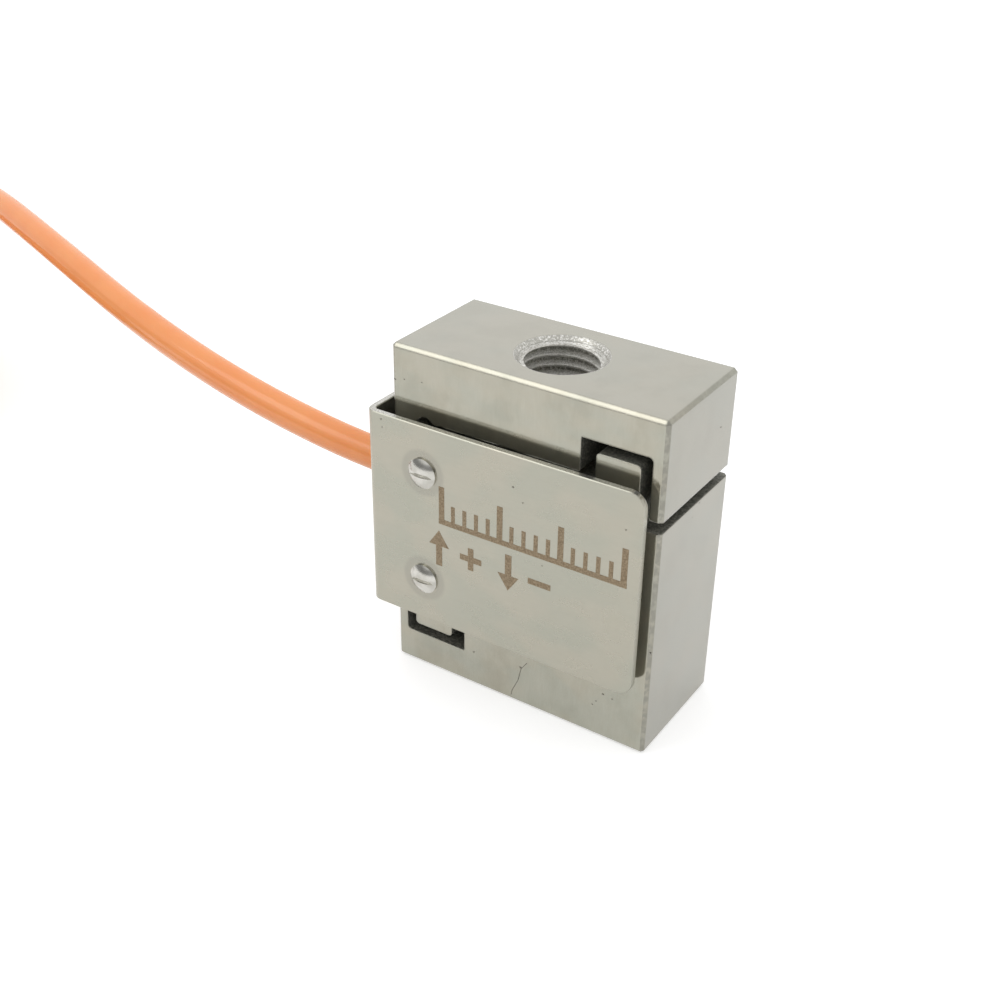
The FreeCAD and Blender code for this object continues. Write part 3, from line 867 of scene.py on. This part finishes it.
def steel_of_body():
    """Material of the spring body."""
    finish, tree, shader = new_finish("ground_steel")
    outer, edge = outer_faces(tree)
    bore = load_bore(tree)
    outer = math_node(tree, "MULTIPLY", outer, math_node(tree, "SUBTRACT", 1.0, bore))
    _, place = place_of(tree)
    clouds = grain(tree, (2.6, 2.6, 3.4), 4)
    tinge = grain(tree, (5.0, 5.0, 3.0), 2)
    satin = grain(tree, (0.07, 0.07, 1.1), 2, 0.7)
    speckle = grain(tree, (0.17, 0.17, 0.17), 3, 0.75)
    ground = tint(tree, step_between(tree, tinge, 0.4, 0.6), GROUND, GROUND_COOL)
    ground = tint(tree, step_between(tree, clouds, 0.35, 0.72, 0.0, 0.35), ground, GROUND_PALE)
    ground = tint(tree, step_between(tree, clouds, 0.52, 0.3, 0.0, 0.3), ground, GROUND_DARK)
    ground = tint(tree, step_between(tree, satin, 0.3, 0.7, 0.0, 0.16), ground, GROUND_DARK)
    # Painted highlight: the top face is made lighter, for the light that falls on it from above.
    painted_top_light = math_node(tree, "GREATER_THAN", place[2], body_high.z - 2 * HAIR * MM)
    ground = tint(tree, math_node(tree, "MULTIPLY", painted_top_light, 0.55), ground, TOP_PAINTED_LIGHT)
    along_x = math_node(tree, "ABSOLUTE", facing_of(tree)[0])
    end_face = math_node(tree, "GREATER_THAN", along_x, 0.9)
    ground = tint(tree, math_node(tree, "MULTIPLY", end_face, 0.6), ground, END_FACE)
    worn = step_between(tree, grain(tree, (0.5, 0.5, 0.5), 2), 0.35, 0.6, 0.35, 0.9)
    ground = tint(tree, math_node(tree, "MULTIPLY", edge, worn), ground, BROKEN)
    eroded = tint(tree, step_between(tree, speckle, 0.42, 0.66), ERODED, ERODED_LIGHT)
    tapped = tint(tree, step_between(tree, speckle, 0.45, 0.65), TAPPED, TAPPED_LIGHT)
    inner = tint(tree, bore, eroded, tapped)
    tree.links.new(tint(tree, outer, inner, ground), shader.inputs["Base Color"])
    bright = math_node(tree, "MAXIMUM", outer, bore)
    tree.links.new(step_between(tree, bright, 0.0, 1.0, 0.35, 0.88), shader.inputs["Metallic"])
    smooth_roughness = step_between(tree, clouds, 0.3, 0.7, 0.08, 0.16)
    skin_roughness = step_between(tree, bright, 0.0, 1.0, 0.5, 0.0)
    bore_roughness = math_node(tree, "MULTIPLY", bore, 0.3)
    roughness = math_node(tree, "MAXIMUM", skin_roughness, bore_roughness)
    roughness = math_node(tree, "MAXIMUM", smooth_roughness, roughness)
    tree.links.new(roughness, shader.inputs["Roughness"])
    fine = math_node(tree, "MULTIPLY", satin, 0.3)
    share = step_between(tree, outer, 0.0, 1.0, 2.5, 0.05)
    height = math_node(tree, "ADD", fine, math_node(tree, "MULTIPLY", speckle, share))
    rounded = add(tree, "Bevel", {"Radius": ROUNDING * MM}, samples=6).outputs[0]
    tree.links.new(relief(tree, height, 0.010, rounded), shader.inputs["Normal"])
    return finish


ground_steel = steel_of_body()
dress(ground_steel, "spring_body")
print("body finish:", len(ground_steel.node_tree.nodes), "nodes")

# %% [markdown]
# ## Finish of the threads
# A tap tears the steel a little as it cuts, so the flanks are bright and streaky. They could
# share the body's material, but a bright ridge is what makes a thread read as one in a dark
# bore, so they get their own.

# %% Cut threads


def steel_of_threads():
    """Bright, torn flanks of a cut thread."""
    finish, tree, shader = new_finish("tapped_steel", metallic=0.6)
    torn = grain(tree, (0.16, 0.16, 0.07), 3, 0.7)
    colour = tint(tree, step_between(tree, torn, 0.38, 0.66), TAPPED, TAPPED_LIGHT)
    tree.links.new(colour, shader.inputs["Base Color"])
    tree.links.new(step_between(tree, torn, 0.35, 0.7, 0.42, 0.24), shader.inputs["Roughness"])
    tree.links.new(relief(tree, torn, 0.02), shader.inputs["Normal"])
    return finish


tapped_steel = steel_of_threads()
for ridge in (upper_thread, lower_thread):
    wear(ridge, tapped_steel)
print("threads dressed")

# %% [markdown]
# ## Finish of the cover
# The cover is folded from rolled sheet. Its outside is satin, its sheared edges are bright, and
# a faint ring of painted shade lies round each screw head, the shade of the head and of a
# shallow dimple. Nobody polishes the inside, so it stays pale and dull, and lights the gap
# between the cover and the body.

# %% Rolled sheet
SHEET_WARM = (0.42, 0.402, 0.335)
SHEET_COOL = (0.392, 0.390, 0.328)
SHEET_PALE = (0.485, 0.465, 0.40)
SHEET_DARK = (0.345, 0.33, 0.275)
SCREW_SHADE = (0.315, 0.305, 0.265)
SHEARED = (0.40, 0.39, 0.35)
SHEARED_LIGHT = (0.72, 0.71, 0.67)
INSIDE = (0.62, 0.60, 0.53)


def shade_rings_of_screws(tree, place):
    """Share of the rings of painted shade round the screw heads, one result for each screw."""
    for spot in SCREW_PLACES:
        away = distance_from(tree, place, (0, 2), spot)
        grows = step_between(tree, away, 1.15 * MM, 1.3 * MM)
        fades = step_between(tree, away, 1.95 * MM, 1.6 * MM)
        yield math_node(tree, "MULTIPLY", grows, fades)


def steel_of_cover():
    """Material of the folded cover."""
    finish, tree, shader = new_finish("rolled_sheet")
    _, place = place_of(tree)
    facing = facing_of(tree)
    clouds = grain(tree, (3.2, 3.2, 2.4), 4)
    tinge = grain(tree, (6.0, 6.0, 4.0), 2)
    rolled = grain(tree, (1.4, 1.4, 0.22), 2, 0.6)
    speckle = grain(tree, (0.09, 0.09, 0.09), 2, 0.7)
    sheet = tint(tree, step_between(tree, tinge, 0.4, 0.6), SHEET_WARM, SHEET_COOL)
    sheet = tint(tree, step_between(tree, clouds, 0.35, 0.72, 0.0, 0.2), sheet, SHEET_PALE)
    sheet = tint(tree, step_between(tree, rolled, 0.3, 0.7, 0.0, 0.1), sheet, SHEET_DARK)
    # Painted shade: a darker ring round each screw head stands for the head's shade and a shallow
    # dimple.
    for ring in shade_rings_of_screws(tree, place):
        sheet = tint(tree, math_node(tree, "MULTIPLY", ring, 0.5), sheet, SCREW_SHADE)
    edge = math_node(tree, "GREATER_THAN", math_node(tree, "ABSOLUTE", facing[2]), 0.8)
    sheared = tint(tree, step_between(tree, speckle, 0.4, 0.62), SHEARED, SHEARED_LIGHT)
    outward = math_node(tree, "MULTIPLY", facing[1], place[1])
    inward = math_node(tree, "LESS_THAN", outward, -1.0 * MM)
    sheet = tint(tree, inward, sheet, INSIDE)
    tree.links.new(tint(tree, edge, sheet, sheared), shader.inputs["Base Color"])
    tree.links.new(step_between(tree, inward, 0.0, 1.0, 0.88, 0.2), shader.inputs["Metallic"])
    satin = step_between(tree, clouds, 0.3, 0.7, 0.25, 0.33)
    dull = step_between(tree, inward, 0.0, 1.0, 0.0, 0.55)
    tree.links.new(math_node(tree, "MAXIMUM", satin, dull), shader.inputs["Roughness"])
    swell = math_node(tree, "MULTIPLY", grain(tree, (3.0, 3.0, 2.6), 1), 1.2)
    height = math_node(tree, "ADD", math_node(tree, "MULTIPLY", rolled, 0.08), swell)
    tree.links.new(relief(tree, height, 0.010), shader.inputs["Normal"])
    return finish


rolled_sheet = steel_of_cover()
wear(cover, rolled_sheet)
dress(rolled_sheet, "cover_sheet")
print("cover finish:", len(rolled_sheet.node_tree.nodes), "nodes")

# %% [markdown]
# ## Finish of the marks and flecks
# The laser's marks are an oxide, a brown with little shine. Old specks are only dirt. Both are
# too small to show a pattern, so a fine noise between two tones is enough for each.

# %% Laser brown
BURNT = (0.215, 0.155, 0.088)
BURNT_LIGHT = (0.345, 0.265, 0.168)


def brown_of_laser():
    """Oxide skin that a marking laser leaves."""
    finish, tree, shader = new_finish("laser_brown", metallic=0.25)
    burnt = grain(tree, (0.12, 0.12, 0.12), 3, 0.7)
    colour = tint(tree, step_between(tree, burnt, 0.35, 0.68), BURNT, BURNT_LIGHT)
    tree.links.new(colour, shader.inputs["Base Color"])
    tree.links.new(step_between(tree, burnt, 0.3, 0.7, 0.6, 0.42), shader.inputs["Roughness"])
    return finish


wear(marks, brown_of_laser())
print("marks dressed")

# %% Grime
SPECK = (0.10, 0.09, 0.07)
SPECK_LIGHT = (0.24, 0.225, 0.18)


def grime():
    """Dull dark brown of old specks."""
    finish, tree, shader = new_finish("dull_grime")
    dust = grain(tree, (0.1, 0.1, 0.1), 2)
    colour = tint(tree, step_between(tree, dust, 0.35, 0.65), SPECK, SPECK_LIGHT)
    tree.links.new(colour, shader.inputs["Base Color"])
    tree.links.new(step_between(tree, dust, 0.3, 0.7, 0.5, 0.7), shader.inputs["Roughness"])
    return finish


wear(flecks, grime())
print("flecks dressed")

# %% [markdown]
# ## Turned screws and spacers
# Small slotted screws are turned from bar and tumbled, so they are the brightest metal here,
# with soft patches where they have touched each other. The spacers are turned and left so.

# %% Turned steel


def turned_steel(name, colour, bright, roughness):
    """Bright bar steel with a fine tumbled grain."""
    finish, tree, shader = new_finish(name, metallic=1.0)
    tumbled = grain(tree, (1.2, 1.2, 1.2), 2)
    colour_share = step_between(tree, tumbled, 0.38, 0.65)
    tree.links.new(tint(tree, colour_share, colour, bright), shader.inputs["Base Color"])
    rough = step_between(tree, tumbled, 0.3, 0.7, roughness, roughness + 0.1)
    tree.links.new(rough, shader.inputs["Roughness"])
    tree.links.new(relief(tree, grain(tree, (0.08, 0.08, 0.08), 2), 0.004), shader.inputs["Normal"])
    return finish


screw_steel = turned_steel("turned_screw_steel", (0.45, 0.44, 0.40), (0.58, 0.57, 0.53), 0.1)
spacer_steel = turned_steel("turned_spacer_steel", (0.42, 0.41, 0.37), (0.52, 0.51, 0.47), 0.3)
dress(screw_steel, "cover_screws")
dress(spacer_steel, "cover_spacers")
print("turned parts dressed")

# %% [markdown]
# ## Soft and moulded finishes
# Silicone, shrink sleeve, core insulation, board and resistors all differ in colour, gloss and
# grain, and are otherwise alike. One maker takes those values. Silicone also lets a little
# light through its skin, which warms its shaded side.

# %% Moulded finishes


def moulded(name, colour, darker, roughness, mottle=1.5, skin=0.1, depth=0.004, **sockets):
    """Plastic or rubber with faint mottling and a fine skin."""
    finish, tree, shader = new_finish(name, **sockets)
    patches = grain(tree, (mottle, mottle, mottle), 3)
    mottled = tint(tree, step_between(tree, patches, 0.3, 0.75), colour, darker)
    tree.links.new(mottled, shader.inputs["Base Color"])
    rough = step_between(tree, patches, 0.3, 0.7, roughness, roughness + 0.1)
    tree.links.new(rough, shader.inputs["Roughness"])
    tree.links.new(relief(tree, grain(tree, (skin, skin, skin), 2), depth), shader.inputs["Normal"])
    return finish


silicone = {
    "Subsurface_Weight": 0.12,
    "Subsurface_Radius": (1.0, 0.4, 0.15),
    "Subsurface_Scale": 0.0006,
}
orange = moulded(
    "orange_silicone", (0.95, 0.36, 0.125), (0.92, 0.325, 0.108), 0.1, 4.0, 0.35, 0.006, **silicone
)
wear(cable, orange)
seal = moulded(
    "clear_seal", (0.70, 0.69, 0.63), (0.60, 0.59, 0.54), 0.3, 2.0, 0.8, 0.02,
    Subsurface_Weight=0.2, Subsurface_Scale=0.0006,
)
rubber = moulded("black_grommet_rubber", (0.022, 0.022, 0.022), (0.012, 0.012, 0.012), 0.55)
sleeve = moulded("shrunk_sleeve", (0.016, 0.016, 0.018), (0.028, 0.028, 0.03), 0.4, 2.0, 0.5, 0.03)
board = moulded("green_board", (0.06, 0.22, 0.10), (0.04, 0.17, 0.08), 0.35, 0.8)
ceramic = moulded("resistor_ceramic", (0.03, 0.03, 0.035), (0.05, 0.05, 0.055), 0.5)
dress(rubber, "cable_grommet")
dress(sleeve, "end_sleeve")
dress(board, "terminal_board")
dress(ceramic, "balance_resistor", "span_resistor")
dress(seal, "gauge_fill")
print("moulded parts dressed:", sorted(finished))

# %% [markdown]
# ## Insulation of the cores
# The four cores differ only in colour, so a table of colours and one loop dress them, the
# stripped ones outside and the same four inside the body.

# %% Core insulation
INSULATION = {
    "red": ((0.62, 0.025, 0.022), (0.50, 0.018, 0.016)),
    "black": ((0.015, 0.015, 0.016), (0.028, 0.028, 0.03)),
    "green": ((0.018, 0.30, 0.085), (0.012, 0.24, 0.065)),
    "white": ((0.80, 0.80, 0.77), (0.70, 0.70, 0.67)),
}
for colour, (light, dark) in INSULATION.items():
    insulation = moulded(colour + "_insulation", light, dark, 0.28, 2.5, 0.3, 0.004)
    wear(cores[colour], insulation)
    dress(insulation, "inner_core_" + colour, "core_" + colour)
print("four cores dressed")

# %% [markdown]
# ## Metals inside and at the stripped end
# Tinned strands, copper leads and the crimped ferrule are bright metals with soft patches of
# oxide. The gauges are amber film, mottled by the glue under it.

# %% Small metals and gauge film


def wire_metal(name, bright, dull, roughness):
    """Small metal with dull patches."""
    finish, tree, shader = new_finish(name, metallic=1.0)
    patches = grain(tree, (0.6, 0.6, 0.6), 3)
    colour = tint(tree, step_between(tree, patches, 0.4, 0.65), bright, dull)
    tree.links.new(colour, shader.inputs["Base Color"])
    rough = step_between(tree, patches, 0.3, 0.7, roughness, roughness + 0.18)
    tree.links.new(rough, shader.inputs["Roughness"])
    return finish


tinned = wire_metal("tinned_strand", (0.72, 0.72, 0.70), (0.50, 0.50, 0.48), 0.22)
wear(tips, tinned)
wear(drain, tinned)
dress(tinned, "core_tips", "drain_wire")
dress(wire_metal("copper_lead", (0.75, 0.36, 0.20), (0.55, 0.24, 0.13), 0.25), "gauge_wires")
dress(wire_metal("crimped_brass", (0.72, 0.56, 0.28), (0.50, 0.37, 0.17), 0.28), "cable_ferrule")


def gauge_film():
    """Amber film of a gauge."""
    finish, tree, shader = new_finish("gauge_film", Roughness=0.3)
    patches = grain(tree, (0.7, 0.7, 0.7), 3)
    share = step_between(tree, patches, 0.35, 0.7)
    amber = tint(tree, share, (0.55, 0.26, 0.05), (0.42, 0.18, 0.03))
    tree.links.new(amber, shader.inputs["Base Color"])
    tree.links.new(relief(tree, patches, 0.004), shader.inputs["Normal"])
    return finish


gauges = [f"gauge_{row}_{side}" for row in ("upper", "lower") for side in ("left", "right")]
dress(gauge_film(), *gauges)
print("small metals and gauges dressed")

# %% [markdown]
# ## Weave of the tie
# The strap is woven tape. Two waves crossed at right angles make its weave, one along the
# strap's length and one across it. A third crosses them where the strap turns down, and a
# fuzzy sheen takes the hardness off its black.

# %% Woven tape


def woven_tape():
    """Black woven tape with a soft nap."""
    finish, tree, shader = new_finish("woven_tape", Sheen_Weight=0.35, Sheen_Roughness=0.5)
    place, _ = place_of(tree)
    turned = add(tree, "Mapping", {"Vector": place, "Rotation": (0, 0, -TIE_ANGLE)}).outputs[0]
    waves = []
    for direction in ("X", "Y", "Z"):
        sockets = {"Vector": turned, "Scale": 520.0, "Distortion": 0.6, "Detail": 1.0}
        waves.append(add(tree, "TexWave", sockets, bands_direction=direction).outputs[1])
    weave = math_node(tree, "MULTIPLY", waves[1], math_node(tree, "MAXIMUM", waves[0], waves[2]))
    colour = tint(tree, weave, (0.010, 0.010, 0.012), (0.045, 0.045, 0.05))
    tree.links.new(colour, shader.inputs["Base Color"])
    tree.links.new(step_between(tree, weave, 0.0, 1.0, 0.9, 0.7), shader.inputs["Roughness"])
    nap = grain(tree, (0.12, 0.12, 0.12), 3)
    height = math_node(tree, "ADD", weave, math_node(tree, "MULTIPLY", nap, 0.5))
    tree.links.new(relief(tree, height, 0.05), shader.inputs["Normal"])
    return finish


tape = woven_tape()
wear(tie, tape)
dress(tape, "coil_tie")
dress(orange, "cable_lead", "cable_coil", "cable_tail")
print("solids without a finish:", sorted(set(nodes) - finished))

# %% [markdown]
# ## Floor
# A plain pale floor keeps the shadow. Where nothing shades it, it should look as white as the
# paper of a catalogue, so it glows a little for the camera and for mirrors, and for nothing
# else: no extra light falls on the part from it.

# %% Lay the floor
FLOOR_RADIUS = 0.9
PAPER = (0.78, 0.78, 0.78, 1)
PAPER_GLOW = 0.45
WHITE = (1, 1, 1, 1)


def seen_directly(tree):
    """Share of the rays that show a thing to the camera, or to metal and glass."""
    rays = add(tree, "LightPath").outputs
    seen = math_node(tree, "MAXIMUM", rays["Is Camera Ray"], rays["Is Glossy Ray"])
    return math_node(tree, "MAXIMUM", seen, rays["Is Transmission Ray"])


def white_floor():
    """Round floor under the part."""
    mesh = bpy.data.meshes.new("studio_floor")
    form = bmesh.new()
    bmesh.ops.create_circle(form, cap_ends=True, segments=96, radius=FLOOR_RADIUS)
    form.to_mesh(mesh)
    form.free()
    floor = bpy.data.objects.new("studio_floor", mesh)
    floor.location.z = -0.02 * MM
    bpy.context.collection.objects.link(floor)
    finish, tree, shader = new_finish("floor_paper", Roughness=0.9)
    shader.inputs["Base Color"].default_value = PAPER
    shader.inputs["Specular IOR Level"].default_value = 0.0
    shader.inputs["Emission Color"].default_value = WHITE
    glow = math_node(tree, "MULTIPLY", seen_directly(tree), PAPER_GLOW)
    tree.links.new(glow, shader.inputs["Emission Strength"])
    mesh.materials.append(finish)
    return floor


floor = white_floor()
print("floor radius in m:", FLOOR_RADIUS)

# %% [markdown]
# ## Light
# Small bright steel shows whatever surrounds it, so the surroundings are kept plain: an even
# pale room, one large soft lamp from the upper front left, whose image runs along the body's
# top front edge, and a weak one behind. Low in front the room is darker, as where someone
# stands, and that gives the domed screws their dark crescent. The levels are such that a
# colour comes out about as it is written.

# %% Hang the lamps
LAMP_AIM = Vector((0, 0, 13)) * MM


def soft_lamp(name, direction, distance, size, glow):
    """Square soft lamp that faces the part, with its brightness given as plain radiance."""
    lamp = bpy.data.lights.new(name, "AREA")
    lamp.size = size
    lamp.energy = glow * math.pi * size * size
    holder = bpy.data.objects.new(name, lamp)
    way = Vector(direction).normalized()
    holder.location = way * distance + LAMP_AIM
    holder.rotation_euler = way.to_track_quat("Z", "Y").to_euler()
    bpy.context.collection.objects.link(holder)
    return holder


soft_lamp("key_softbox", (-0.471, -0.5, 0.727), 0.36, 0.17, 1.7)
soft_lamp("back_softbox", (-0.55, 0.75, 0.55), 0.45, 0.30, 0.12)

print("two lamps")

# %% Light the room
ROOM_LIGHT = 0.96
ROOM_SEEN = 1.0
LOW_FRONT = 0.35

world = bpy.data.worlds.new("pale_room")
world.use_nodes = True
bpy.context.scene.world = world
room = world.node_tree
background = room.nodes["Background"]
background.inputs["Color"].default_value = WHITE
way = add(room, "SeparateXYZ", {0: add(room, "TexCoord").outputs["Generated"]}).outputs
frontward = step_between(room, way[1], -0.15, -0.5)
low_down = step_between(room, way[2], 0.42, 0.25)
low_front = math_node(room, "MULTIPLY", frontward, low_down)
to_camera = add(room, "LightPath").outputs["Is Camera Ray"]
low_front = math_node(room, "MULTIPLY", low_front, math_node(room, "SUBTRACT", 1.0, to_camera))
strength = step_between(room, seen_directly(room), 0.0, 1.0, ROOM_LIGHT, ROOM_SEEN)
shade = step_between(room, low_front, 0.0, 1.0, 1.0, LOW_FRONT)
strength = math_node(room, "MULTIPLY", strength, shade)
room.links.new(strength, background.inputs["Strength"])
bpy.context.scene.view_settings.view_transform = "Standard"
print("pale room, at", ROOM_LIGHT, "and", LOW_FRONT, "of it low in front")
